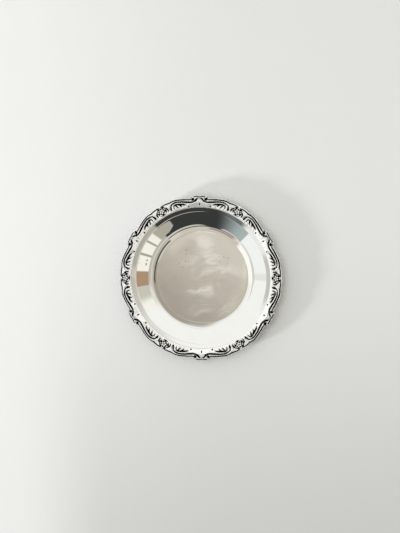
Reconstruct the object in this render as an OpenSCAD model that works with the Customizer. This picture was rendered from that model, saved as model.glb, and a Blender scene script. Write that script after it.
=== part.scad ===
// Round silver coin tray: a spun sheet dish with a cast border of shells, flowers and scrolls.
// The border is six equal castings that sit on the dish's flange and meet at the shells.
// Millimetres. The origin is at the middle of the flat base, with +Z up and a flower on +X.

/* [Dish] */
// Diameter over the widest points of the border
outer_d = 160; // [154:1:190]
// Depth of the dish, from its floor up to the flange
dish_depth = 8; // [5:0.5:11]
// Thickness of the sheet that the dish is spun from
sheet_t = 1.2; // [0.8:0.1:1.6]
// Radius of the flat floor, out to the foot of its step
floor_r = 47.2; // [40:0.1:51]
// Height of the step round the floor
step_h = 0.4; // [0.2:0.1:0.9]
// Bend radius of the step, over the sheet's upper face
step_bend_r = 1.8; // [1.7:0.1:3]
// Width of the level ledge between the step and the wall
ledge_w = 0.3; // [0.2:0.1:2]
// Share of straightness in the wall: 0 bends it all the way up, and more leaves its upper part straight
wall_straight = 0.55; // [0:0.05:0.7]
// Bend radius where the wall turns over into the shoulder
shoulder_r = 3; // [2:0.1:5]
// Width of the gently sloping shoulder inside the border
shoulder_w = 4.5; // [3:0.1:7]
// Slope of the shoulder, in degrees
shoulder_a = 7; // [3:0.5:12]

/* [Border] */
// Width of the cast border, from its inner edge to its widest points
border_w = 11; // [9:0.1:12]
// How far the border lies on the dish's flange
seat_w = 5.3; // [4:0.1:5.6]
// Clearance between the edge of the flange and the rebate round it
rebate_gap = 0.1; // [0.05:0.01:0.3]
// Clearance between neighbouring castings
seam_gap = 0.04; // [0.02:0.01:0.2]
// Thickness of a casting at its inner and outer edges
edge_h = 0.9; // [0.5:0.1:1.5]
// Thickness of a casting between its edges
face_h = 1.6; // [1.6:0.1:2.6]
// Width of the bevel along each edge of a casting
bevel_w = 0.35; // [0.2:0.05:0.5]
// How far the outline draws in at the waists beside the shells
waist_depth = 2.1; // [0:0.1:2.6]
// How far the outline draws in beside the flowers
neck_depth = 0.5; // [0:0.1:1]

/* [Ornament] */
// Width of the scrolls at their thickest
scroll_w = 1.5; // [1.1:0.1:1.8]
// Height of the scrolls above the casting's face
scroll_h = 1.6; // [0.8:0.1:2.4]
// Width of the leaf lobes at their thickest
leaf_w = 2.7; // [1.8:0.1:2.9]
// Height of the leaf lobes above the casting's face
leaf_h = 1.3; // [0.6:0.1:2]
// Number of petals round a flower
petals = 5; // [4:1:7]
// Radius of a flower
flower_r = 4.8; // [3.6:0.1:4.9]
// Height of a flower above the casting's face
flower_h = 2; // [1.2:0.1:2.6]
// Number of ribs in a shell
shell_ribs = 5; // [3:2:5]
// Length of a shell, from the point that its ribs fan out from
shell_r = 4.6; // [4:0.1:4.7]
// Height of a shell above the casting's face
shell_h = 1.7; // [0.8:0.1:2.4]
// Angle that a shell fans over, in degrees
shell_fan = 70; // [50:1:76]

/* [Hidden] */
sections = 6;

outer_r = outer_d / 2;
half_pitch = 180 / sections;
border_in_r = outer_r - border_w;
flange_r = border_in_r + seat_w;
rebate_r = flange_r + rebate_gap;
flange_z = sheet_t + dish_depth;
face_z = flange_z + face_h;
fuse = 0.3;
silver = [0.85, 0.84, 0.80];
cast_silver = [0.74, 0.73, 0.70];

// The step is a bend up and an equal bend back, so each takes half of its height.
step_a = acos(1 - step_h / 2 / step_bend_r);
wall_foot_r = floor_r + 2 * step_bend_r * sin(step_a) + ledge_w;
// The shoulder slopes straight up to a last bend that brings it level at the border.
bend_w = shoulder_r * sin(shoulder_a);
bend_rise = shoulder_r * (1 - cos(shoulder_a));
shoulder_rise = (shoulder_w - bend_w) * tan(shoulder_a) + bend_rise;
// The wall is an arc and a straight slope, and the turn-over an arc back from the same slope.
wall_run = border_in_r - shoulder_w - wall_foot_r + bend_w;
wall_climb = dish_depth - step_h - shoulder_rise + bend_rise;
wall_a = 2 * atan(wall_climb / wall_run) * (1 - wall_straight / 2);
wall_slant = wall_climb / tan(wall_a / 2) - wall_run;
wall_r = (wall_run - wall_slant * cos(wall_a)) / sin(wall_a) - shoulder_r;

// Paths of the ornament from a flower towards a shell. Each point holds its place along,
// with 0 at the flower and 1 at the shell, and its place across, with 0 at the inner edge and
// 1 at the outline, then the width and the height there as shares of the full ones.
scroll_path = [
    [0.215, 0.17, 0.5, 0.5], [0.188, 0.36, 0.9, 0.8], [0.196, 0.56, 1, 1], [0.240, 0.73, 1, 1],
    [0.320, 0.825, 1, 1], [0.430, 0.82, 1, 0.9], [0.560, 0.81, 1, 0.9], [0.670, 0.785, 1, 1],
    [0.770, 0.735, 1, 1], [0.850, 0.62, 0.9, 1], [0.903, 0.72, 0.8, 0.9], [0.890, 0.85, 0.7, 0.8],
    [0.845, 0.875, 0.6, 0.7], [0.825, 0.79, 0.5, 0.6]
];
band_path = [
    [0.305, 0.53, 0.4, 0.4], [0.375, 0.61, 0.8, 0.8], [0.458, 0.62, 0.9, 0.9], [0.545, 0.60, 1, 1],
    [0.640, 0.54, 1, 1], [0.735, 0.46, 1, 1], [0.833, 0.38, 1, 1], [0.925, 0.45, 1, 1],
    [1.030, 0.54, 1, 1]
];
leaf_paths = [
    [[0.305, 0.42, 0.3, 0.5], [0.292, 0.33, 0.8, 1], [0.287, 0.21, 1, 0.9], [0.287, 0.07, 0.5, 0.3]],
    [[0.372, 0.47, 0.3, 0.5], [0.368, 0.37, 0.8, 1], [0.373, 0.22, 1, 0.9], [0.383, 0.07, 0.5, 0.3]],
    [[0.445, 0.48, 0.3, 0.5], [0.450, 0.37, 0.8, 1], [0.468, 0.22, 1, 0.9], [0.490, 0.07, 0.5, 0.3]],
    [[0.530, 0.45, 0.3, 0.5], [0.555, 0.35, 0.7, 1], [0.595, 0.22, 0.8, 0.9], [0.630, 0.08, 0.4, 0.3]]
];

function last(list) = list[len(list) - 1];

// Profile of the sheet's upper face as [radius, height, slope]. A cup bends the sheet
// upwards and a cap bends it back down, each to a given slope.
function cup(p, r, slope, n) = [for (i = [1:n]) let(s = p[2] + (slope - p[2]) * i / n)
    [p[0] + r * (sin(s) - sin(p[2])), p[1] + r * (cos(p[2]) - cos(s)), s]];
function cap(p, r, slope, n) = [for (i = [1:n]) let(s = p[2] + (slope - p[2]) * i / n)
    [p[0] + r * (sin(p[2]) - sin(s)), p[1] + r * (cos(s) - cos(p[2])), s]];

floor_edge = [[floor_r, sheet_t, 0]];
step_foot = cup(last(floor_edge), step_bend_r, step_a, 3);
step_top = cap(last(step_foot), step_bend_r, 0, 3);
wall_foot = [last(step_top) + [ledge_w, 0, 0]];
wall = cup(last(wall_foot), wall_r, wall_a, 14);
wall_top = [last(wall) + wall_slant * [cos(wall_a), sin(wall_a), 0]];
turn_over = cap(last(wall_top), shoulder_r, shoulder_a, 6);
shoulder_top = [last(turn_over) + (shoulder_w - bend_w) * [1, tan(shoulder_a), 0]];
last_bend = cap(last(shoulder_top), shoulder_r, 0, 2);
flange_edge = [[flange_r, last(last_bend)[1], 0]];
upper_face = concat(floor_edge, step_foot, step_top, wall_foot, wall, wall_top, turn_over,
    shoulder_top, last_bend, flange_edge);

module dish_body() {
    top = [for (p = upper_face) [p[0], p[1]]];
    under = [for (p = upper_face) [p[0] + sheet_t * sin(p[2]), p[1] - sheet_t * cos(p[2])]];
    back = [for (i = [len(under) - 1:-1:0]) under[i]];
    color(silver)
    rotate_extrude($fn = 180)
    polygon(concat([[0, 0], [0, sheet_t]], top, back));
}

// How far a dip has sunk at a place, with its own width before its middle and after it
function dip(at, middle, before, after) = let(half = at < middle ? before : after)
    abs(at - middle) < half ? pow(cos(90 * (at - middle) / half), 2) : 0;
// Radius of the border's outline, with at = 0 at a flower and 1 at a shell
function outline_r(at) = outer_r - waist_depth * dip(at, 0.76, 0.36, 0.11)
    - neck_depth * dip(at, 0.27, 0.17, 0.15);
function on_border(at, across) = let(a = at * half_pitch,
    r = border_in_r + (outline_r(at) - border_in_r) * across) [r * cos(a), r * sin(a)];

// A smooth curve through all its points, which may hold any number of values each
function curve_at(p, i, t) = let(n = len(p) - 1, a = p[max(i - 1, 0)], b = p[i],
    c = p[min(i + 1, n)], d = p[min(i + 2, n)])
    (2 * b + t * (c - a) + t * t * (2 * a - 5 * b + 4 * c - d) + t * t * t * (3 * b - a - 3 * c + d)) / 2;
function curve(p, steps) = concat(
    [for (i = [0:len(p) - 2], k = [0:steps - 1]) curve_at(p, i, k / steps)], [last(p)]);

// A solid through a row of closed rings that have the same number of points
module loft(rings) {
    n = len(rings[0]);
    m = len(rings);
    sides = [for (i = [0:m - 2], j = [0:n - 1]) let(k = (j + 1) % n, a = i * n, b = a + n)
        each [[a + j, b + j, b + k], [a + j, b + k, a + k]]];
    start = [for (j = [1:n - 2]) [0, j, j + 1]];
    end = [for (j = [1:n - 2]) let(a = (m - 1) * n) [a, a + j + 1, a + j]];
    polyhedron([for (ring = rings) each ring], concat(sides, start, end));
}

// A gabled ridge along a path on the border, with upright sides that go into the casting's face
module ridge(path, width, height, steps) {
    eaves = 0.45;
    line = curve(path, steps);
    place = [for (p = line) on_border(p[0], p[1])];
    n = len(line) - 1;
    loft([for (i = [0:n])
        let(ahead = place[min(i + 1, n)] - place[max(i - 1, 0)],
            side = [-ahead[1], ahead[0]] / norm(ahead) * width * line[i][2] / 2,
            h = height * line[i][3])
        [for (q = [[1, -fuse], [1, h * eaves], [0, h], [-1, h * eaves], [-1, -fuse]])
            [place[i][0] + side[0] * q[0], place[i][1] + side[1] * q[0], face_z + q[1]]]]);
}

// Plain casting under the ornament: a level face, bevelled edges and a rebate for the flange
module casting(columns) {
    overrun = fuse / border_w;
    loft([for (i = [0:columns])
        let(at = (2 * i / columns - 1) * (1 + overrun), a = at * half_pitch, out = outline_r(abs(at)))
        [for (p = [[rebate_r, flange_z], [border_in_r, flange_z], [border_in_r, flange_z + edge_h],
                [border_in_r + bevel_w, face_z], [out - bevel_w, face_z], [out, flange_z + edge_h],
                [out, flange_z - sheet_t], [rebate_r, flange_z - sheet_t]])
            [p[0] * cos(a), p[0] * sin(a), p[1]]]]);
}

// A rounded boss that stands on the casting's face
module boss(r, h, sides) {
    scale([1, 1, h / r / cos(90 / sides)])
    sphere(r, $fn = sides);
}

module flower() {
    petal_r = flower_r * min(0.34, 0.6 * sin(180 / petals));
    eye_r = flower_r * 0.27;
    translate([(border_in_r + outer_r) / 2, 0, face_z]) {
        for (i = [0:petals - 1])
            rotate(360 * i / petals)
            hull() {
                translate([flower_r - petal_r, 0, 0])
                boss(petal_r, flower_h * 0.8, 8);
                translate([eye_r + petal_r * 0.5, 0, 0])
                boss(petal_r * 0.4, flower_h * 0.5, 8);
            }
        boss(eye_r, flower_h, 8);
    }
}

module shell() {
    rib_pitch = shell_r * shell_fan / shell_ribs * PI / 180;
    tip_r = rib_pitch * 0.36;
    root = shell_r * 0.36;
    rotate(half_pitch)
    translate([outer_r - bevel_w - shell_r, 0, face_z])
    for (i = [0:shell_ribs - 1])
        rotate(shell_fan * (i / (shell_ribs - 1) - 0.5))
        hull() {
            translate([shell_r - tip_r, 0, 0])
            boss(tip_r, shell_h * 0.8, 6);
            translate([root, 0, 0])
            boss(tip_r * 0.4, shell_h, 6);
        }
}

module half_ornament() {
    ridge(scroll_path, scroll_w, scroll_h, steps = 2);
    ridge(band_path, scroll_w, scroll_h, steps = 2);
    for (path = leaf_paths)
        ridge(path, leaf_w, leaf_h, steps = 1);
    shell();
}

// Slice between two shells, inside which one casting lies
module slice() {
    point = seam_gap / 2 / sin(half_pitch);
    reach = outer_d * [cos(half_pitch), sin(half_pitch)];
    linear_extrude(flange_z + outer_r)
    polygon([[point, 0], [point + reach[0], -reach[1]], [point + reach[0], reach[1]]]);
}

module border_section(i) {
    color(cast_silver)
    rotate(2 * half_pitch * (i - 1))
    intersection() {
        slice();
        union() {
            casting(columns = 36);
            half_ornament();
            mirror([0, 1, 0])
            half_ornament();
            flower();
        }
    }
}

dish_body();
for (i = [1:sections])
    border_section(i);
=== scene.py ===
import math

import bmesh
import bpy
import numpy as np
from mathutils import Matrix, Vector


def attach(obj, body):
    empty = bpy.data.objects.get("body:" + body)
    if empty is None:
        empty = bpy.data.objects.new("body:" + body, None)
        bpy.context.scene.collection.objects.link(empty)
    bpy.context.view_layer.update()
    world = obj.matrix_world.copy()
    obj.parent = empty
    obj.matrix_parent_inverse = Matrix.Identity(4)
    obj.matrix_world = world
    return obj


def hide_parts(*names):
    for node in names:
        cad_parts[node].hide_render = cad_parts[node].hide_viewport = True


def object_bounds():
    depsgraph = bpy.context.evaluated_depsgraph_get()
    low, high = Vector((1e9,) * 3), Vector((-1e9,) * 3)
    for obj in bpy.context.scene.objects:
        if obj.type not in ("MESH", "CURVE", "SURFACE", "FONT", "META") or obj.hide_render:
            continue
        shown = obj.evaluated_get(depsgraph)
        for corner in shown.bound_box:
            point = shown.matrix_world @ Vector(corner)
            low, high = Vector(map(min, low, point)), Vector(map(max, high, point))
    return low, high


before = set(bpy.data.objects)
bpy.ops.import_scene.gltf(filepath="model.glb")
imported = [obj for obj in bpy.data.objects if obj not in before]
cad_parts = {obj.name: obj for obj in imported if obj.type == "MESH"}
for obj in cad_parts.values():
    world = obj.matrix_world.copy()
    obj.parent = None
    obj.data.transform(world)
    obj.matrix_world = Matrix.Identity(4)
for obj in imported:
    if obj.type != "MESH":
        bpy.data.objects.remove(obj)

CAD_BOX = [list(corner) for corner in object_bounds()]

# Round silver coin tray. All sizes are in metres, in the frame's own axes.
MM = 0.001
CASTINGS = 6
HALF_PITCH = math.pi / CASTINGS

# Sheet dish
SHEET_T = 1.2 * MM
DISH_DEPTH = 8.0 * MM
FLOOR_R = 45.1 * MM
WALL_FOOT_R = 49.15 * MM
FLOOR_RISE = 0.4 * MM
BREAK_R = 4 * MM
BREAK_A = math.radians(2.2)
WALL_STRAIGHT = 0.55
SHOULDER_R = 3.0 * MM
SHOULDER_W = 4.5 * MM
SHOULDER_A = math.radians(7)
SHEET_EDGE = 0.15 * MM
STEPS_ROUND = 384

# Cast border
OUTER_R = CAD_BOX[1][0]
BORDER_W = 11.0 * MM
BORDER_IN_R = OUTER_R - BORDER_W
SEAT_W = 5.3 * MM
REBATE_GAP = 0.1 * MM
SEAM_GAP = 0.04 * MM
WAIST_DEPTH = 2.1 * MM
NECK_DEPTH = 0.5 * MM
FLANGE_R = BORDER_IN_R + SEAT_W
FLANGE_Z = SHEET_T + DISH_DEPTH

# Relief of the border, as heights above the flange
EDGE_H = 0.8 * MM
GROUND_H = 1.5 * MM
SCROLL_W = 1.7 * MM
SCROLL_H = 1.7 * MM
LEAF_W = 3.1 * MM
LEAF_H = 1.4 * MM
FLOWER_R = 4.8 * MM
FLOWER_WIDE = 1.1
FLOWER_H = 1.85 * MM
SHELL_R = 4.6 * MM
SHELL_H = 1.7 * MM
CARVED_H = 1.1 * MM
RELIEF_TOP = CAD_BOX[1][2] - FLANGE_Z - 0.02 * MM
RELIEF_STEP = 0.16 * MM
ROUND_OFF = 0.25 * MM

# Paths of the ornament, from a flower at 0 to a shell at 1 and from the inner edge at 0 to
# the outline at 1, each with its shares of the full width and height
SCROLL_PATH = [
    (0.215, 0.17, 0.5, 0.5), (0.188, 0.36, 0.9, 0.8), (0.196, 0.56, 1, 1), (0.240, 0.73, 1, 1),
    (0.320, 0.825, 1, 1), (0.430, 0.82, 1, 0.9), (0.560, 0.81, 1, 0.9), (0.670, 0.785, 1, 1),
    (0.770, 0.735, 1, 1), (0.850, 0.62, 0.9, 1), (0.903, 0.72, 0.8, 0.9), (0.890, 0.85, 0.7, 0.8),
    (0.845, 0.875, 0.6, 0.7), (0.825, 0.79, 0.5, 0.6),
]
BAND_PATH = [
    (0.305, 0.53, 0.4, 0.4), (0.375, 0.61, 0.8, 0.8), (0.458, 0.62, 0.9, 0.9), (0.545, 0.60, 1, 1),
    (0.640, 0.54, 1, 1), (0.735, 0.46, 1, 1), (0.833, 0.38, 1, 1), (0.925, 0.45, 1, 1),
    (1.030, 0.54, 1, 1),
]
LEAF_PATHS = [
    [(0.305, 0.42, 0.3, 0.5), (0.292, 0.33, 0.8, 1), (0.287, 0.21, 1, 0.9), (0.287, 0.07, 0.7, 0.3)],
    [(0.372, 0.47, 0.3, 0.5), (0.368, 0.37, 0.8, 1), (0.373, 0.22, 1, 0.9), (0.383, 0.07, 0.7, 0.3)],
    [(0.445, 0.48, 0.3, 0.5), (0.450, 0.37, 0.8, 1), (0.468, 0.22, 1, 0.9), (0.490, 0.07, 0.7, 0.3)],
    [(0.530, 0.45, 0.3, 0.5), (0.555, 0.35, 0.7, 1), (0.595, 0.22, 0.8, 0.9), (0.630, 0.08, 0.4, 0.3)],
]
# Carved lines, each point with its width in millimetres and its share of the full depth
CARVED_PATHS = [
    [(0.243, 0.20, 1.0, 0.8), (0.243, 0.34, 2.0, 1), (0.253, 0.49, 1.5, 1), (0.277, 0.64, 1.1, 0.9),
     (0.320, 0.72, 1.1, 0.9), (0.400, 0.745, 1.2, 1), (0.500, 0.705, 1.4, 1), (0.583, 0.69, 1.6, 1),
     (0.667, 0.645, 1.8, 1), (0.750, 0.61, 1.7, 1), (0.833, 0.51, 1.4, 1), (0.883, 0.565, 1.6, 1),
     (0.920, 0.68, 1.8, 1), (0.950, 0.77, 1.3, 0.9)],
    [(0.335, 0.43, 0.6, 0.7), (0.345, 0.51, 1.1, 1), (0.385, 0.55, 1.3, 1), (0.435, 0.525, 1.5, 1),
     (0.500, 0.465, 1.8, 1), (0.567, 0.425, 1.6, 1), (0.617, 0.375, 1.1, 1), (0.657, 0.32, 0.4, 0.6)],
    [(0.333, 0.45, 0.8, 0.9), (0.329, 0.34, 0.9, 1), (0.326, 0.21, 0.4, 0.6)],
    [(0.378, 0.50, 0.9, 1), (0.405, 0.38, 1.2, 1), (0.430, 0.27, 1.0, 0.9), (0.450, 0.17, 0.4, 0.5)],
    [(0.452, 0.49, 0.9, 1), (0.492, 0.38, 1.1, 1), (0.517, 0.27, 0.8, 0.9), (0.532, 0.19, 0.4, 0.5)],
    [(0.711, 0.13, 1.4, 1), (0.712, 0.16, 1.4, 1)],
    [(0.822, 0.90, 1.0, 0.9), (0.834, 0.80, 2.2, 1), (0.838, 0.74, 3.0, 1)],
    [(0.812, 0.95, 0.9, 0.8), (0.817, 1.0, 0.9, 0.8)],
    [(0.878, 0.95, 0.9, 0.8), (0.882, 1.0, 0.9, 0.8)],
    [(0.865, 0.91, 0.7, 0.9), (0.905, 0.935, 0.9, 1), (0.950, 0.935, 0.9, 1), (1.0, 0.91, 0.8, 0.9)],
    [(1.0, 0.19, 0.8, 0.8), (1.0, 0.27, 1.2, 1), (1.0, 0.35, 0.8, 0.8)],
    [(0.152, 0.24, 0.8, 0.8), (0.160, 0.36, 1.4, 1), (0.150, 0.50, 1.3, 1), (0.130, 0.57, 1.3, 1),
     (0.100, 0.66, 0.8, 0.8)],
    [(0.045, 0.74, 1.2, 1), (0.055, 0.76, 1.2, 1)],
    [(0.060, 0.90, 0.9, 0.9), (0.167, 0.905, 1.2, 1), (0.250, 0.91, 1.2, 1), (0.333, 0.925, 1.1, 1),
     (0.417, 0.90, 1.3, 1), (0.500, 0.885, 1.3, 1), (0.583, 0.89, 1.3, 1), (0.667, 0.90, 1.2, 1),
     (0.750, 0.875, 1.1, 1), (0.795, 0.88, 0.8, 0.9)],
]


# Shapes worked out as arrays

def smooth(low, high, x):
    """0 at low and 1 at high, with a smooth slope between."""
    t = np.clip((x - low) / (high - low), 0, 1)
    return t * t * (3 - 2 * t)


def curve(path, steps):
    """A smooth curve through all the points of a path, which may hold any number of values each."""
    p = np.array(path, float)
    p = np.concatenate([p[:1], p, p[-1:]])
    t = np.arange(steps)[:, None] / steps
    spans = []
    for a, b, c, d in zip(p, p[1:], p[2:], p[3:]):
        spans.append((2 * b + t * (c - a) + t ** 2 * (2 * a - 5 * b + 4 * c - d)
                      + t ** 3 * (3 * b - a - 3 * c + d)) / 2)
    return np.concatenate(spans + [p[-1:]])


def dip(at, middle, before, after):
    """A rounded bump of 1 at its middle, which ends at its own distance before and after it."""
    half = np.where(at < middle, before, after)
    return np.where(np.abs(at - middle) < half, np.cos(math.pi / 2 * (at - middle) / half) ** 2, 0)


def outline_r(at):
    """Radius of the border's scalloped outline."""
    return OUTER_R - WAIST_DEPTH * dip(at, 0.76, 0.36, 0.11) - NECK_DEPTH * dip(at, 0.27, 0.17, 0.15)


def on_border(at, across):
    """The place in plan of a point given along and across the border."""
    angle = at * HALF_PITCH
    r = BORDER_IN_R + (outline_r(at) - BORDER_IN_R) * across
    return r * np.cos(angle), r * np.sin(angle)


def along_path(x, y, path):
    """For every point, its distance to the path's middle line and its width, height and place there."""
    line = curve(path, 8)
    px, py = on_border(line[:, 0], line[:, 1])
    best = np.full(x.shape, np.inf)
    found = np.zeros(x.shape + (3,))
    for i in range(len(line) - 1):
        dx, dy = px[i + 1] - px[i], py[i + 1] - py[i]
        t = np.clip(((x - px[i]) * dx + (y - py[i]) * dy) / (dx * dx + dy * dy), 0, 1)
        away = np.hypot(x - px[i] - t * dx, y - py[i] - t * dy)
        nearer = away < best
        best[nearer] = away[nearer]
        share = t[nearer, None]
        found[nearer, :2] = line[i, 2:] * (1 - share) + line[i + 1, 2:] * share
        found[nearer, 2] = (i + share[:, 0]) / (len(line) - 1)
    return best, found[..., 0], found[..., 1], found[..., 2]


def rounded(away, half, height, power=2.4):
    """Height of a ridge with a full round back."""
    return height * np.clip(1 - (away / half) ** power, 0, 1) ** 0.7


def ridge(x, y, path, width, height, power=2.4):
    away, wide, high, _ = along_path(x, y, path)
    return rounded(away, width / 2 * wide, height * high, power)


def leaf(x, y, path):
    """A lobe of an acanthus leaf, hollowed along its vein."""
    away, wide, high, along = along_path(x, y, path)
    vein = 0.45 * np.exp(-(away / (0.22 * MM)) ** 2) * smooth(0, 0.25, along) * smooth(1, 0.8, along)
    return rounded(away, LEAF_W / 2 * wide, LEAF_H * high, 2) * (1 - vein)


def petal_ring(x, y, count, turn, reach, half_length, half_width, height, dimple):
    """A ring of rounded petals round a flower's middle."""
    angle = np.arctan2(y, x) - turn
    step = 2 * math.pi / count
    angle = (angle + step / 2) % step - step / 2
    r = np.hypot(x, y)
    along, side = r * np.cos(angle) - reach, r * np.sin(angle)
    body = np.clip(1 - (along / half_length) ** 2 - (side / half_width) ** 2, 0, 1)
    hollow = ((along + 0.1 * half_length) / (0.45 * half_length)) ** 2 + (side / (0.45 * half_width)) ** 2
    cup = dimple * np.exp(-hollow)
    return height * (body ** 0.45 - cup * (body > 0))


def flower(x, y):
    """A rose seen from above: five open petals, five upright ones and a small eye."""
    x, y = x - (BORDER_IN_R + OUTER_R) / 2, y / FLOWER_WIDE
    r, h = FLOWER_R, FLOWER_H
    outer = petal_ring(x, y, 5, 0, 0.65 * r, 0.36 * r, 0.38 * r, 0.75 * h, 0.32)
    inner = petal_ring(x, y, 5, math.pi / 5, 0.31 * r, 0.22 * r, 0.19 * r, 0.95 * h, 0.3)
    eye = rounded(np.hypot(x, y), 0.12 * FLOWER_R, FLOWER_H)
    return np.maximum(np.maximum(outer, inner), eye)


def shell(x, y):
    """A fluted shell, whose ribs fan out from a point on the seam, and the darkness between them."""
    root = OUTER_R - 0.35 * MM - SHELL_R
    c, s = math.cos(HALF_PITCH), math.sin(HALF_PITCH)
    out, side = x * c + y * s - root, np.abs(y * c - x * s)
    r = np.hypot(out, side)
    fan = np.degrees(np.arctan2(side, out))
    wave = 0.5 + 0.5 * np.cos(2 * math.pi * fan / 17.5)
    lip = SHELL_R * (0.92 + 0.08 * wave)
    edge = smooth(lip, lip - 0.5 * MM, r) * smooth(44, 38, fan) * smooth(0.10, 0.35, r / SHELL_R)
    height = SHELL_H * edge * (0.65 + 0.35 * wave) * (1 - 0.35 * smooth(0.4, 1, r / SHELL_R))
    return height, smooth(0.35, 0.05, wave) * (edge > 0.4) * smooth(0.3, 0.5, r / SHELL_R) * 0.8


def carved(x, y, path):
    """How deep a carved line goes, as a share of the full depth."""
    away, wide, deep, _ = along_path(x, y, path)
    return smooth(1.3, 0.5, away / (wide * MM / 2)) * deep


def relief(angle, across):
    """Height over the flange and depth of blackening of a casting's face, at places on it."""
    at = np.abs(angle) / HALF_PITCH
    x, y = on_border(at, across)
    r = np.hypot(x, y)
    out = outline_r(at)
    rise = smooth(0, 0.8 * MM, r - BORDER_IN_R) * smooth(0, 0.7 * MM, out - r)
    ground = EDGE_H + (GROUND_H - EDGE_H) * rise
    line = curve(BAND_PATH, 8)
    band_across = np.interp(at, line[:, 0], line[:, 1])
    # The plain panel inside a shell rises in one sweep to the band's crest.
    flutes = 1 + 0.04 * np.cos(2 * math.pi * (at - 1) / 0.11)
    panel = smooth(0.60, 0.76, at) * smooth(0, 1.05, across / band_across) * (across < band_across)
    fan, between = shell(x, y)
    rose = flower(x, y)
    parts = [
        ridge(x, y, SCROLL_PATH, SCROLL_W, SCROLL_H),
        ridge(x, y, BAND_PATH, SCROLL_W, SCROLL_H * 0.95),
        panel * flutes * SCROLL_H * 0.9,
        rose,
        fan,
        rounded(np.abs(out - r - 0.4 * MM), 0.4 * MM, 0.5 * MM),
    ]
    parts += [leaf(x, y, path) for path in LEAF_PATHS]
    lines = np.max([carved(x, y, path) for path in CARVED_PATHS], axis=0)
    # The gaps between a flower's petals and round it are dark too.
    near = np.hypot(x - (BORDER_IN_R + OUTER_R) / 2, y / FLOWER_WIDE) / FLOWER_R
    gaps = smooth(0.70, 0.42, rose / FLOWER_H) * smooth(1.02, 0.85, near) * smooth(0.02, 0.08, across)
    height = ground + np.max(parts, axis=0)
    height -= CARVED_H * np.maximum(lines, 0.5 * np.maximum(gaps, between))
    height = np.clip(height, 0.35 * MM, RELIEF_TOP)
    return height, np.max([lines, gaps * 0.9, between], axis=0)


# Meshes

def mesh_piece(name, points, faces):
    """A piece in the scene from its points and faces."""
    mesh = bpy.data.meshes.new(name)
    mesh.from_pydata([tuple(p) for p in points], [], faces)
    mesh.validate()
    mesh.update()
    piece = bpy.data.objects.new(name, mesh)
    bpy.context.scene.collection.objects.link(piece)
    return piece


def cup(point, r, slope, steps):
    """Bends the sheet upwards to a slope. Each point is its radius, height and slope."""
    slopes = np.linspace(point[2], slope, steps + 1)[1:]
    return [(point[0] + r * (math.sin(s) - math.sin(point[2])),
             point[1] + r * (math.cos(point[2]) - math.cos(s)), s) for s in slopes]


def cap(point, r, slope, steps):
    """Bends the sheet back down to a slope."""
    slopes = np.linspace(point[2], slope, steps + 1)[1:]
    return [(point[0] + r * (math.sin(point[2]) - math.sin(s)),
             point[1] + r * (math.cos(s) - math.cos(point[2])), s) for s in slopes]


def straight(point, run, steps):
    """Goes straight on outwards at the slope that the sheet has."""
    return [(point[0] + run * i / steps, point[1] + run * i / steps * math.tan(point[2]), point[2])
            for i in range(1, steps + 1)]


def sheet_profile():
    """Closed half outline of the spun sheet, from the middle of its upper face round to the base."""
    bend_w = SHOULDER_R * math.sin(SHOULDER_A)
    bend_rise = SHOULDER_R * (1 - math.cos(SHOULDER_A))
    shoulder_rise = (SHOULDER_W - bend_w) * math.tan(SHOULDER_A) + bend_rise
    run = BORDER_IN_R - SHOULDER_W - WALL_FOOT_R + bend_w
    climb = DISH_DEPTH - FLOOR_RISE - shoulder_rise + bend_rise
    wall_a = 2 * math.atan(climb / run) * (1 - WALL_STRAIGHT / 2)
    slant = climb / math.tan(wall_a / 2) - run
    wall_r = (run - slant * math.cos(wall_a)) / math.sin(wall_a) - SHOULDER_R
    # The floor's edge breaks upwards, then lifts in a wide bend that runs into the wall's own.
    spare = wall_r - BREAK_R
    lift_w = WALL_FOOT_R - FLOOR_R + spare * math.sin(BREAK_A)
    lift_rise = FLOOR_RISE + spare * (1 - math.cos(BREAK_A))
    lift_a = 2 * math.atan(lift_rise / lift_w) - BREAK_A
    lift_r = wall_r + lift_w / (math.sin(lift_a) - math.sin(BREAK_A))
    upper = [(r, SHEET_T, 0) for r in np.linspace(0, FLOOR_R, 24)]
    upper += cup(upper[-1], BREAK_R, BREAK_A, 4)
    upper += cup(upper[-1], lift_r, lift_a, 20)
    upper += cup(upper[-1], wall_r, wall_a, 32)
    upper += straight(upper[-1], slant * math.cos(wall_a), 6)
    upper += cap(upper[-1], SHOULDER_R, SHOULDER_A, 16)
    upper += straight(upper[-1], SHOULDER_W - bend_w, 4)
    upper += cap(upper[-1], SHOULDER_R, 0, 4)
    upper += [(FLANGE_R - SHEET_EDGE, FLANGE_Z, 0), (FLANGE_R, FLANGE_Z - SHEET_EDGE, math.pi / 2)]
    lower = [(r + SHEET_T * math.sin(s), z - SHEET_T * math.cos(s)) for r, z, s in upper[:-1]]
    lower.append((FLANGE_R, FLANGE_Z - SHEET_T + SHEET_EDGE))
    return [(r, z) for r, z, _ in upper] + lower[::-1]


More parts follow.
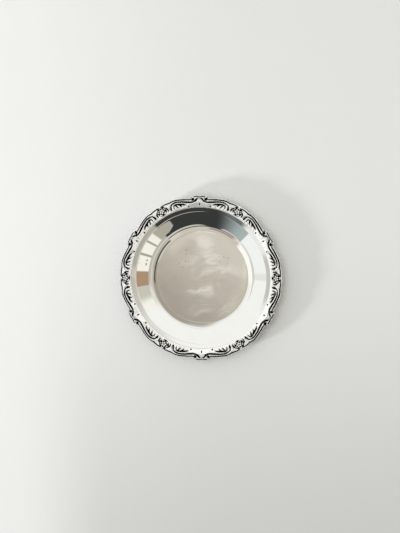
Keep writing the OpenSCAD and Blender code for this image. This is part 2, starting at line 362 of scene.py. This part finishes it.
class Tree:
    """Builds the nodes of a material, a world or a geometry tree."""

    def __init__(self, tree):
        self.tree = tree

    def node(self, kind, inputs=None, out=0, **settings):
        """Adds a node: its settings first, then the value or link of each named or numbered socket."""
        made = self.tree.nodes.new(kind)
        for name, value in settings.items():
            setattr(made, name, value)
        for key, value in (inputs or {}).items():
            self.feed(made.inputs[key], value)
        return Wire(self, made.outputs[out]) if made.outputs else made

    def feed(self, socket, value):
        if isinstance(value, Wire):
            self.tree.links.new(value.socket, socket)
        elif hasattr(socket.default_value, "__len__") and not hasattr(value, "__len__"):
            socket.default_value = (value, value, value, 1)[:len(socket.default_value)]
        elif hasattr(value, "__len__") and not isinstance(value, str):
            socket.default_value = tuple(value) + (1,) * (len(socket.default_value) - len(value))
        else:
            socket.default_value = value

    def mix(self, share, a, b):
        """One colour turned into another by a share."""
        made = self.tree.nodes.new("ShaderNodeMix")
        made.data_type = "RGBA"
        for index, value in ((0, share), (6, a), (7, b)):
            self.feed(made.inputs[index], value)
        return Wire(self, made.outputs[2])

    def step(self, value, low, high):
        """0 below low and 1 above high, with a smooth slope between, or the other way round."""
        flip = low > high
        low, high = sorted((low, high))
        rise = self.node("ShaderNodeMapRange", {0: value, 1: low, 2: high}, interpolation_type="SMOOTHSTEP")
        return 1 - rise if flip else rise


class Wire:
    """A socket that plain arithmetic works on."""

    def __init__(self, tree, socket):
        self.tree, self.socket = tree, socket

    def maths(self, operation, *values):
        inputs = {i: value for i, value in enumerate(values)}
        return self.tree.node("ShaderNodeMath", inputs, operation=operation)

    def __add__(self, other):
        return self.maths("ADD", self, other)

    def __sub__(self, other):
        return self.maths("SUBTRACT", self, other)

    def __rsub__(self, other):
        return self.maths("SUBTRACT", other, self)

    def __mul__(self, other):
        return self.maths("MULTIPLY", self, other)

    def __truediv__(self, other):
        return self.maths("DIVIDE", self, other)

    def __pow__(self, other):
        return self.maths("POWER", self, other)

    __radd__, __rmul__ = __add__, __mul__


# Finishes

def new_finish(name):
    """A material whose only shader is one principled shader, with its tree and that shader."""
    material = bpy.data.materials.new(name)
    material.use_nodes = True
    shader = material.node_tree.nodes["Principled BSDF"]
    return material, Tree(material.node_tree), shader


# Where tiny pits gather on the dish's floor, in millimetres from its middle
PITTED_PLACES = [(-19, 13), (20, 17), (-27, -6), (-16, 22)]


def polishing_lines(tree, place, turn, stretch, least):
    """Fine lines that polishing leaves in one direction, where the noise is above a least value."""
    turned = tree.node("ShaderNodeMapping", {"Vector": place, "Rotation": (0, 0, turn), "Scale": stretch})
    drawn = tree.node("ShaderNodeTexNoise", {"Vector": turned, "Scale": 1, "Detail": 2})
    return tree.step(drawn, least, least + 0.12)


def polished_silver():
    """Hand-polished plate: two sets of fine straight scratches, a few pits and a slow waviness."""
    material, tree, shader = new_finish("polished_silver")
    place = tree.node("ShaderNodeTexCoord", out="Object")
    slow = tree.node("ShaderNodeTexNoise", {"Vector": place, "Scale": 28, "Detail": 1, "Distortion": 1.1})
    haze = tree.node("ShaderNodeTexNoise", {"Vector": place, "Scale": 90, "Detail": 3})
    worn = polishing_lines(tree, place, 0.5, (60, 2200, 60), 0.60)
    worn = worn + polishing_lines(tree, place, -0.9, (50, 1800, 50), 0.62)
    # Clusters of tiny pits at a few places
    speck = tree.node("ShaderNodeTexVoronoi", {"Vector": place, "Scale": 330})
    pitted = 0
    for x, y in PITTED_PLACES:
        centre = (x * MM, y * MM, SHEET_T)
        gap = tree.node("ShaderNodeVectorMath", {0: place, 1: centre}, out=1, operation="DISTANCE")
        pitted = tree.step(gap, 9 * MM, 4 * MM) + pitted
    dots = tree.step(speck, 0.27, 0.15) * pitted
    tint = tree.mix(tree.step(haze, 0.35, 0.7), (0.935, 0.925, 0.895), (0.92, 0.905, 0.87))
    tree.feed(shader.inputs["Base Color"], tree.mix(dots * 0.55, tint, (0.30, 0.27, 0.22)))
    shader.inputs["Metallic"].default_value = 1
    tree.feed(shader.inputs["Roughness"], 0.012 + haze * 0.008 + worn * 0.01)
    wave = tree.node("ShaderNodeBump", {"Height": slow, "Strength": 1, "Distance": 0.02 * MM})
    lines = tree.node("ShaderNodeBump", {
        "Height": worn, "Strength": 0.02, "Distance": 0.01 * MM, "Normal": wave})
    tree.feed(shader.inputs["Normal"], lines)
    return material


def cast_silver():
    """Bright cast silver whose recesses are blackened."""
    material, tree, shader = new_finish("cast_silver")
    place = tree.node("ShaderNodeTexCoord", out="Object")
    black = tree.node("ShaderNodeAttribute", out="Fac", attribute_name="black")
    grain = tree.node("ShaderNodeTexNoise", {"Vector": place, "Scale": 900, "Detail": 2})
    cloud = tree.node("ShaderNodeTexNoise", {"Vector": place, "Scale": 160, "Detail": 3})
    stain = tree.step(black + (cloud - 0.5) * 0.15, 0.24, 0.55)
    bright = tree.mix(tree.step(cloud, 0.4, 0.7), (0.985, 0.985, 0.97), (0.95, 0.95, 0.93))
    tree.feed(shader.inputs["Base Color"], tree.mix(stain, bright, (0.006, 0.006, 0.006)))
    tree.feed(shader.inputs["Metallic"], 0.55 + stain * 0.45)
    tree.feed(shader.inputs["Roughness"], 0.20 + cloud * 0.06 + stain * 0.25)
    bump = tree.node("ShaderNodeBump", {"Height": grain, "Strength": 0.25, "Distance": 0.03 * MM})
    tree.feed(shader.inputs["Normal"], bump)
    return material


def pale_plaster():
    """The plain pale surface that the tray stands on."""
    material, tree, shader = new_finish("pale_plaster")
    place = tree.node("ShaderNodeTexCoord", out="Object")
    across = tree.node("ShaderNodeSeparateXYZ", {0: place}, out=0)
    up = tree.node("ShaderNodeSeparateXYZ", {0: place}, out=1)
    mottle = tree.node("ShaderNodeTexNoise", {"Vector": place, "Scale": 22, "Detail": 4})
    fine = tree.node("ShaderNodeTexNoise", {"Vector": place, "Scale": 240, "Detail": 4})
    # Painted light and shade: the plaster's colour is made palest on the left, where the light comes from,
    # and darker to the right.
    tone = tree.mix(tree.step(across, -0.27, 0.06), (0.845, 0.85, 0.85), (0.745, 0.753, 0.745))
    # Painted shade: a darkening towards the front, stronger on the right, is mixed into the plaster's
    # colour.
    front = tree.step(up, 0.10, -0.36) * (tree.step(across, -0.19, -0.09) * 0.7 + 0.3)
    tone = tree.mix(front * 0.40, tone, (0.21, 0.21, 0.21))
    tree.feed(shader.inputs["Base Color"], tree.mix(mottle * 0.08, tone, (0.58, 0.58, 0.57)))
    shader.inputs["Roughness"].default_value = 0.9
    shader.inputs["Specular IOR Level"].default_value = 0.1
    rough = tree.node("ShaderNodeBump", {"Height": fine, "Strength": 0.35, "Distance": 0.25 * MM})
    bump = tree.node("ShaderNodeBump", {
        "Height": mottle, "Strength": 0.35, "Distance": 0.8 * MM, "Normal": rough})
    tree.feed(shader.inputs["Normal"], bump)
    return material


# Pieces

def plain_mesh(holder, name):
    """The evaluated result of a holder's modifiers as a plain piece, without the holder."""
    graph = bpy.context.evaluated_depsgraph_get()
    evaluated = holder.evaluated_get(graph)
    mesh = bpy.data.meshes.new_from_object(evaluated, preserve_all_data_layers=True, depsgraph=graph)
    mesh.name = name
    piece = bpy.data.objects.new(name, mesh)
    bpy.context.scene.collection.objects.link(piece)
    old = holder.data
    bpy.data.objects.remove(holder)
    if old.users == 0:
        bpy.data.meshes.remove(old)
    return piece


def geometry_tree(name, inputs):
    """An empty geometry tree with a geometry in and out and the named inputs, and their sockets."""
    group = bpy.data.node_groups.new(name, "GeometryNodeTree")
    group.interface.new_socket("Geometry", in_out="INPUT", socket_type="NodeSocketGeometry")
    sockets = {}
    for label, kind in inputs.items():
        sockets[label] = group.interface.new_socket(label, in_out="INPUT", socket_type="NodeSocket" + kind)
    group.interface.new_socket("Geometry", in_out="OUTPUT", socket_type="NodeSocketGeometry")
    tree = Tree(group)
    entry = group.nodes.new("NodeGroupInput")
    tree.given = {socket.name: Wire(tree, socket) for socket in entry.outputs if socket.name}
    return group, tree, {label: socket.identifier for label, socket in sockets.items()}


def finish_tree(tree, geometry, material):
    """Ends a geometry tree with real geometry and its material."""
    geometry = tree.node("GeometryNodeRealizeInstances", {0: geometry})
    geometry = tree.node("GeometryNodeSetMaterial", {"Geometry": geometry, "Material": material})
    leave = tree.tree.nodes.new("NodeGroupOutput")
    tree.tree.links.new(geometry.socket, leave.inputs[0])


def apply_tree(holder, group, ids, values, name):
    """Runs a geometry tree on a holder, with its inputs set, and keeps the result as a piece."""
    modifier = holder.modifiers.new(name, "NODES")
    modifier.node_group = group
    for label, value in values.items():
        modifier[ids[label]] = value
    holder.update_tag()
    return plain_mesh(holder, name)


def lathe_tree():
    """Turns an outline, given as a row of points, round the vertical axis."""
    group, tree, ids = geometry_tree("lathe", {"Steps Round": "Int", "Silver": "Material"})
    given = tree.given
    count = tree.node("GeometryNodeAttributeDomainSize", {"Geometry": given["Geometry"]}, out="Point Count")
    grid = tree.node("GeometryNodeMeshGrid", {"Vertices X": given["Steps Round"] + 1, "Vertices Y": count})
    index = tree.node("GeometryNodeInputIndex")
    row = index.maths("FLOOR", (index + 0.5) / count)
    point = tree.node(
        "GeometryNodeSampleIndex",
        {"Geometry": given["Geometry"], "Index": index - row * count},
        data_type="FLOAT_VECTOR")
    position = tree.node("GeometryNodeInputPosition")
    point_value = next(s for s in point.socket.node.inputs if s.name == "Value" and s.type == "VECTOR")
    tree.feed(point_value, position)
    radius = tree.node("ShaderNodeSeparateXYZ", {0: point}, out=0)
    height = tree.node("ShaderNodeSeparateXYZ", {0: point}, out=2)
    angle = row / given["Steps Round"] * (2 * math.pi)
    spun = tree.node("ShaderNodeCombineXYZ", {
        0: radius * angle.maths("COSINE", angle), 1: radius * angle.maths("SINE", angle), 2: height})
    placed = tree.node("GeometryNodeSetPosition", {"Geometry": grid, "Position": spun})
    closed = tree.node("GeometryNodeMergeByDistance", {"Geometry": placed, "Distance": 0.002 * MM})
    finish_tree(tree, closed, given["Silver"])
    return group, ids


def turn_tree():
    """Turns a casting into its place round the border."""
    group, tree, ids = geometry_tree("set_round", {"Turn": "Float", "Silver": "Material"})
    turn = tree.node("ShaderNodeCombineXYZ", {2: tree.given["Turn"]})
    turned = tree.node("GeometryNodeTransform", {"Geometry": tree.given["Geometry"], "Rotation": turn})
    finish_tree(tree, turned, tree.given["Silver"])
    return group, ids


def shade_smooth(piece, sharp_angle):
    """Shades a piece smooth, apart from edges that are sharper than an angle."""
    mesh = piece.data
    mesh.polygons.foreach_set("use_smooth", [True] * len(mesh.polygons))
    mesh.set_sharp_from_angle(angle=sharp_angle)


def dish_body(material):
    """The spun dish, turned on a lathe from its outline."""
    outline = sheet_profile()
    points = [(r, 0, z) for r, z in outline]
    holder = mesh_piece("dish_outline", points, [])
    group, ids = lathe_tree()
    values = {"Steps Round": STEPS_ROUND, "Silver": material}
    piece = apply_tree(holder, group, ids, values, "silver_dish")
    outward(piece)
    shade_smooth(piece, math.radians(40))
    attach(piece, "root")
    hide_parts("dish_body")


def outward(piece):
    """Makes a closed mesh's faces point outwards."""
    mesh = bmesh.new()
    mesh.from_mesh(piece.data)
    bmesh.ops.recalc_face_normals(mesh, faces=mesh.faces)
    if mesh.calc_volume(signed=True) < 0:
        bmesh.ops.reverse_faces(mesh, faces=mesh.faces)
    mesh.to_mesh(piece.data)
    mesh.free()


def casting_mesh():
    """One casting, lofted from section to section: its relief, its edges, its rebate and its seat."""
    seam = SEAM_GAP / 2 / BORDER_IN_R
    columns = round(2 * HALF_PITCH * OUTER_R / RELIEF_STEP)
    angle = np.linspace(-HALF_PITCH + seam, HALF_PITCH - seam, columns + 1)
    rows = round(BORDER_W / RELIEF_STEP)
    across = np.linspace(0, 1, rows + 1)
    angles, shares = np.meshgrid(angle, across, indexing="ij")
    height, black = relief(angles, shares)
    out = outline_r(np.abs(angle) / HALF_PITCH)[:, None]
    radius = BORDER_IN_R + (out - BORDER_IN_R) * shares
    level = np.full_like(out, FLANGE_Z)
    under = level - SHEET_T
    rebate = np.full_like(out, FLANGE_R + REBATE_GAP)
    inner = np.full_like(out, BORDER_IN_R)
    radii = np.hstack([inner, inner, radius[:, 1:-1], out - 0.3 * ROUND_OFF, out, out, out - ROUND_OFF,
                       rebate, rebate])
    heights = np.hstack([level, level + height[:, :1] - ROUND_OFF, level + height[:, 1:-1],
                         level + height[:, -1:], level + height[:, -1:] - ROUND_OFF,
                         under + ROUND_OFF, under, under, level])
    stain = np.hstack([black[:, :1], black[:, :1], black[:, 1:-1], np.zeros((len(angle), 6))])
    x, y = radii * np.cos(angle)[:, None], radii * np.sin(angle)[:, None]
    points = np.stack([x, y, heights], -1).reshape(-1, 3)
    n = radii.shape[1]
    base = (np.arange(columns) * n)[:, None]
    j = np.arange(n)[None, :]
    k = (j + 1) % n
    quads = np.stack([base + j, base + k, base + n + k, base + n + j], -1).reshape(-1, 4).tolist()
    ends = [list(range(n))[::-1], [columns * n + i for i in range(n)]]
    piece = mesh_piece("casting", points, quads + ends)
    piece.data.attributes.new("black", "FLOAT", "POINT").data.foreach_set("value", stain.ravel())
    outward(piece)
    return piece


def border(material):
    """The six castings, all from one pattern."""
    pattern = casting_mesh()
    group, ids = turn_tree()
    for i in range(CASTINGS):
        holder = pattern.copy()
        bpy.context.scene.collection.objects.link(holder)
        name = f"border_casting_{i + 1}"
        piece = apply_tree(holder, group, ids, {"Turn": 2 * HALF_PITCH * i, "Silver": material}, name)
        shade_smooth(piece, math.radians(55))
        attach(piece, "root")
        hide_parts(f"border_section_{i + 1}")
    bpy.data.objects.remove(pattern)


# Surroundings

# How far the camera leans from straight above, to which side, and its turn about its own axis
VIEW_LEAN = math.radians(12.5)
VIEW_SIDE = math.radians(25)
VIEW_TURN = math.radians(-0.85)
VIEW_DISTANCE = 3.5
METRES_PER_PIXEL = 0.969 * MM
# The picture's height, and where the border's middle stands from the picture's, in pixels
IMAGE_TALL = 533
CENTRE_BELOW = 11.6
CENTRE_RIGHT = 0.55
BORDER_MIDDLE_Z = FLANGE_Z + 1.5 * MM
FLOOR_WIDE = 4.0


def camera():
    """A camera high over the tray, leaning a little, that frames it small in a tall picture."""
    lean = math.sin(VIEW_LEAN)
    toward = Vector((lean * math.cos(VIEW_SIDE), lean * math.sin(VIEW_SIDE), math.cos(VIEW_LEAN)))
    right = Vector((-math.sin(VIEW_TURN), math.cos(VIEW_TURN), 0)).cross(toward).normalized()
    up = toward.cross(right)
    middle = Vector((0, 0, BORDER_MIDDLE_Z))
    aim = middle + up * CENTRE_BELOW * METRES_PER_PIXEL - right * CENTRE_RIGHT * METRES_PER_PIXEL
    data = bpy.data.cameras.new("camera")
    data.sensor_width = 36
    data.lens = VIEW_DISTANCE / METRES_PER_PIXEL / IMAGE_TALL * data.sensor_width
    data.clip_end = 20
    made = bpy.data.objects.new("camera", data)
    bpy.context.scene.collection.objects.link(made)
    turn = Matrix((right, up, toward)).transposed()
    made.matrix_world = Matrix.Translation(aim + toward * VIEW_DISTANCE) @ turn.to_4x4()
    bpy.context.scene.camera = made


def floor(material):
    """The wide level surface that the tray stands on."""
    half = FLOOR_WIDE / 2
    corners = [(-half, -half, 0), (half, -half, 0), (half, half, 0), (-half, half, 0)]
    piece = mesh_piece("floor", corners, [(0, 1, 2, 3)])
    piece.data.materials.append(material)


# Clouds of light and shade on the ceiling: where, how long and wide, which way round in degrees
# and how strong, with the dish's floor mirroring what lies within one span
CEILING_SPAN = 0.0135
CEILING_LIGHTS = [
    (0.10, 0.72, 0.20, 0.16, -20, 0.80), (0.14, 0.50, 0.10, 0.20, 15, 0.45),
    (-0.25, 0.80, 0.45, 0.14, 20, 0.30), (0.23, 0.37, 0.19, 0.06, -8, 0.85),
    (-0.15, 0.36, 0.25, 0.07, 3, 0.30), (0.05, 0.09, 0.18, 0.06, 28, 0.45),
    (0.36, 0.17, 0.36, 0.07, 8, 0.70), (0.66, 0.14, 0.25, 0.10, -18, 0.40),
    (0.02, -0.24, 0.38, 0.045, 16, 0.80), (0.14, -0.27, 0.22, 0.10, 10, 0.50),
    (0.0, -0.66, 0.28, 0.12, 5, 0.35), (0.88, 0.30, 0.10, 0.45, 6, 0.70),
    (0.60, -0.62, 0.35, 0.08, 40, 0.35),
]
CEILING_SHADES = [
    (-0.24, 0.64, 0.18, 0.20, 0, 0.30), (0.20, 0.29, 0.26, 0.03, -6, 0.45),
    (0.12, 0.03, 0.34, 0.035, 20, 0.45), (0.68, 0.03, 0.30, 0.04, -18, 0.35),
    (0.45, -0.12, 0.35, 0.12, 0, 0.25), (-0.50, -0.55, 0.55, 0.30, -30, 0.30),
    (0.10, -0.38, 0.35, 0.05, 12, 0.30),
]
WALL_WHITE = (0.965, 0.975, 0.96)
WALL_BLUISH = (0.94, 0.965, 0.98)
WARM_BROWN = (0.44, 0.30, 0.20)
CARD_GREY = (0.445, 0.435, 0.37)
EAST_SHADE = (0.70, 0.68, 0.61)
FLAG_BLACK = (0.040, 0.044, 0.042)
CEILING_LIGHT = (0.84, 0.82, 0.75)
CEILING_DARK = (0.40, 0.365, 0.315)


class Room:
    """The world's colour by direction, painted in layers, one over another.

    Its places are bearings in degrees round the direction straight above the tray as the camera
    sees it mirrored, and steps away from there: a slope of the dish mirrors what lies across."""

    def __init__(self, tree):
        self.tree = tree
        toward = tree.node("ShaderNodeTexCoord", out="Generated")
        lean = math.sin(VIEW_LEAN)
        u = tree.node("ShaderNodeSeparateXYZ", {0: toward}, out=0) + lean * math.cos(VIEW_SIDE)
        v = tree.node("ShaderNodeSeparateXYZ", {0: toward}, out=1) + lean * math.sin(VIEW_SIDE)
        self.u = u - CENTRE_RIGHT * METRES_PER_PIXEL / VIEW_DISTANCE
        self.v = v + CENTRE_BELOW * METRES_PER_PIXEL / VIEW_DISTANCE
        self.away = (self.u * self.u + self.v * self.v) ** 0.5
        self.side = self.u.maths("ARCTAN2", 0 - self.v, 0 - self.u) * (180 / math.pi)
        self.grain = tree.node("ShaderNodeTexNoise", {"Vector": toward, "Scale": 14, "Detail": 3}) - 0.5
        self.wisp = tree.node("ShaderNodeTexNoise", {"Vector": toward, "Scale": 190, "Detail": 2}) - 0.5
        self.colour = WALL_WHITE

    def paint(self, share, colour):
        """Lays a colour over what is there, by a share."""
        self.colour = self.tree.mix(share, self.colour, colour)

    def past(self, bearing, full):
        """0 up to the first bearing and 1 past the second, whichever is the greater."""
        return self.tree.step(self.side, bearing, full)

    def between(self, value, low, high, soft):
        """1 from low to high, fading to 0 over a soft edge outside them."""
        return self.tree.step(value, low - soft, low) * self.tree.step(value, high + soft, high)

    def sector(self, low, high, soft):
        """All that lies between two bearings."""
        return self.between(self.side, low, high, soft)

    def belt(self, low, high, soft):
        """All that lies between two steps away from the middle."""
        return self.between(self.away, low, high, soft)


def paint_walls(room):
    """White walls with a faint corner to the west, and the east wall with its panel."""
    room.paint(room.sector(6, 40, 10), WALL_BLUISH)
    room.paint(room.sector(-1.5, 2.5, 2.5), (0.84, 0.845, 0.83))
    mix, past = room.tree.mix, room.past
    # The east wall has a bright panel with dark bars and marks, a brown board and a duller part.
    bars = room.sector(145.4, 146.6, 0.8) + room.sector(157.6, 159.2, 0.7)
    marks = room.sector(162.4, 163.8, 0.5) + room.sector(166.0, 168.2, 0.5)
    marks = marks * room.belt(0.86, 0.985, 0.012)
    panel = mix(bars + marks, (0.97, 0.95, 0.875), (0.40, 0.40, 0.34))
    panel = mix(past(139, 136.5) * past(0, 60), panel, CARD_GREY)
    panel = mix(past(173.5, 175) + past(-170.5, -172), panel, WARM_BROWN)
    panel = mix(past(-154, -163) * past(-172.5, -170.5), panel, (0.61, 0.595, 0.54))
    inner = mix(past(-179, -164) * past(0, -20), (0.52, 0.51, 0.45), (0.80, 0.80, 0.74))
    east = mix(room.tree.step(room.away + room.grain * 0.08, 0.54, 0.60), inner, panel)
    room.paint(past(124, 127) + past(-140, -158), east)


def paint_ceiling_edge(room):
    """The walls darken towards the ceiling, with pale and dark lines where they meet it."""
    step, past = room.tree.step, room.past
    early = room.sector(-62, -10, 35)
    late = past(-100, -125) * step(room.away, 0.24, 0.19)
    fall = step(room.v + room.u * 0.7, 0.05, -0.05)
    shade = room.tree.mix(fall, (0.39, 0.355, 0.305), (0.62, 0.585, 0.515))
    room.paint(step(room.away + early * 0.15 - late * 0.10, 0.31, 0.06), shade)
    room.paint(room.sector(130, 159, 4) * room.belt(0.06, 0.085, 0.02), EAST_SHADE)
    ridge_light = past(127, 131) + past(-160, -172)
    room.paint(ridge_light * room.belt(0.215, 0.29, 0.03), (0.67, 0.65, 0.58))
    groove = past(127, 134) + past(-170, -176)
    room.paint(groove * room.belt(0.125, 0.150, 0.018), (0.07, 0.07, 0.065))
    # A bright strip and a thin grey rail to the west
    strip = room.sector(-2, 36, 9)
    room.paint(strip * room.belt(0.075, 0.185, 0.045), (1.06, 1.06, 1.0))
    room.paint(strip * room.belt(0.245, 0.28, 0.02), (0.64, 0.64, 0.61))


def paint_flag(room):
    """A dark flag to the south, blue-grey at its western end, with the card in front to the east."""
    mix, step, past = room.tree.mix, room.tree.step, room.past
    reach = past(41.5, 43) * past(133, 130)
    room.paint(reach * room.belt(0.10, 0.40, 0.05), mix(past(112, 122), (0.62, 0.59, 0.53), EAST_SHADE))
    room.paint(room.sector(54, 79, 5) * room.belt(0.145, 0.17, 0.02), (0.36, 0.27, 0.25))
    start = past(76, 105) * 0.13 + past(71, 62) * 0.12 + 0.19
    card = step(room.side + room.away * 26, 141.8, 143.3) * step(room.away, 0.60, 0.66) * past(112.5, 114)
    tone = mix(past(75, 46), FLAG_BLACK, (0.41, 0.48, 0.49))
    tone = mix(card, tone, CARD_GREY)
    room.paint(reach * step(room.away - start, -0.01, 0.03), tone)


def paint_shoulder_belt(room):
    """The narrow belt that the dish's sloping shoulder mirrors."""
    mix, past = room.tree.mix, room.past
    belt = mix(past(76, 60), (0.042, 0.045, 0.044), (0.15, 0.175, 0.18))
    belt = mix(past(53, 45), belt, (0.88, 0.89, 0.87))
    belt = mix(room.sector(-15, 14, 10), belt, (0.58, 0.585, 0.56))
    belt = mix(past(130, 133), belt, (0.45, 0.445, 0.395))
    belt = mix(past(168, 174), belt, (0.62, 0.60, 0.53))
    north = mix(past(-172, -160), (0.55, 0.54, 0.48), (0.60, 0.595, 0.55))
    north = mix(past(-160, -138), north, (0.78, 0.785, 0.75))
    north = mix(past(-130, -110), north, WALL_WHITE)
    belt = mix(past(-26, -30), belt, north)
    room.paint(room.belt(0.203, 0.226, 0.004), belt)


def paint_ceiling(room):
    """A beige ceiling straight above, paler to the north-east, with clouds of light and shade."""
    mix, step = room.tree.mix, room.tree.step
    slope = step(room.v + room.u * 0.7, -0.017, 0.017)
    overhead = mix(slope, CEILING_DARK, (0.66, 0.625, 0.55))
    for clouds, shade in ((CEILING_LIGHTS, CEILING_LIGHT), (CEILING_SHADES, CEILING_DARK)):
        for cloud_u, cloud_v, half_u, half_v, turn, share in clouds:
            c, s = math.cos(math.radians(turn)), math.sin(math.radians(turn))
            du = room.u * (1 / CEILING_SPAN) - cloud_u + room.wisp * 0.07
            dv = room.v * (1 / CEILING_SPAN) - cloud_v + room.wisp * 0.07
            along = (du * c + dv * s) / half_u
            across = (dv * c - du * s) / half_v
            cloud = step((along * along + across * across) ** 0.5, 1.3, 0.3) * share
            overhead = mix(cloud, overhead, shade)
    room.paint(step(room.away, 0.060, 0.020), overhead)


def room_light():
    """A pale room of walls, panel, card, flag and ceiling for the silver to mirror."""
    world = bpy.data.worlds.new("studio")
    bpy.context.scene.world = world
    world.use_nodes = True
    world.node_tree.nodes.clear()
    tree = Tree(world.node_tree)
    room = Room(tree)
    paint_walls(room)
    paint_ceiling_edge(room)
    paint_flag(room)
    paint_shoulder_belt(room)
    paint_ceiling(room)
    room.paint(tree.node("ShaderNodeLightPath", out="Is Camera Ray"), (0.80, 0.80, 0.79))
    shine = tree.node("ShaderNodeBackground", {"Color": room.colour, "Strength": 1.0})
    leave = world.node_tree.nodes.new("ShaderNodeOutputWorld")
    world.node_tree.links.new(shine.socket, leave.inputs[0])


def lamp(name, place, size, energy):
    """A round soft lamp turned to the tray, which the silver doesn't mirror."""
    data = bpy.data.lights.new(name, "AREA")
    data.shape = "DISK"
    data.size = size
    data.energy = energy
    data.color = (1, 0.99, 0.98)
    made = bpy.data.objects.new(name, data)
    bpy.context.scene.collection.objects.link(made)
    facing = Vector(place).to_track_quat("Z", "Y").to_matrix().to_4x4()
    made.matrix_world = Matrix.Translation(place) @ facing
    made.visible_glossy = False


bpy.context.scene.view_settings.view_transform = "Standard"
camera()
room_light()
lamp("soft_overhead", (-0.4, 0.2, 2.3), 1.8, 11.5)
lamp("low_window", (-2.72, -1.27, 0.78), 0.35, 62)
floor(pale_plaster())
dish_body(polished_silver())
border(cast_silver())
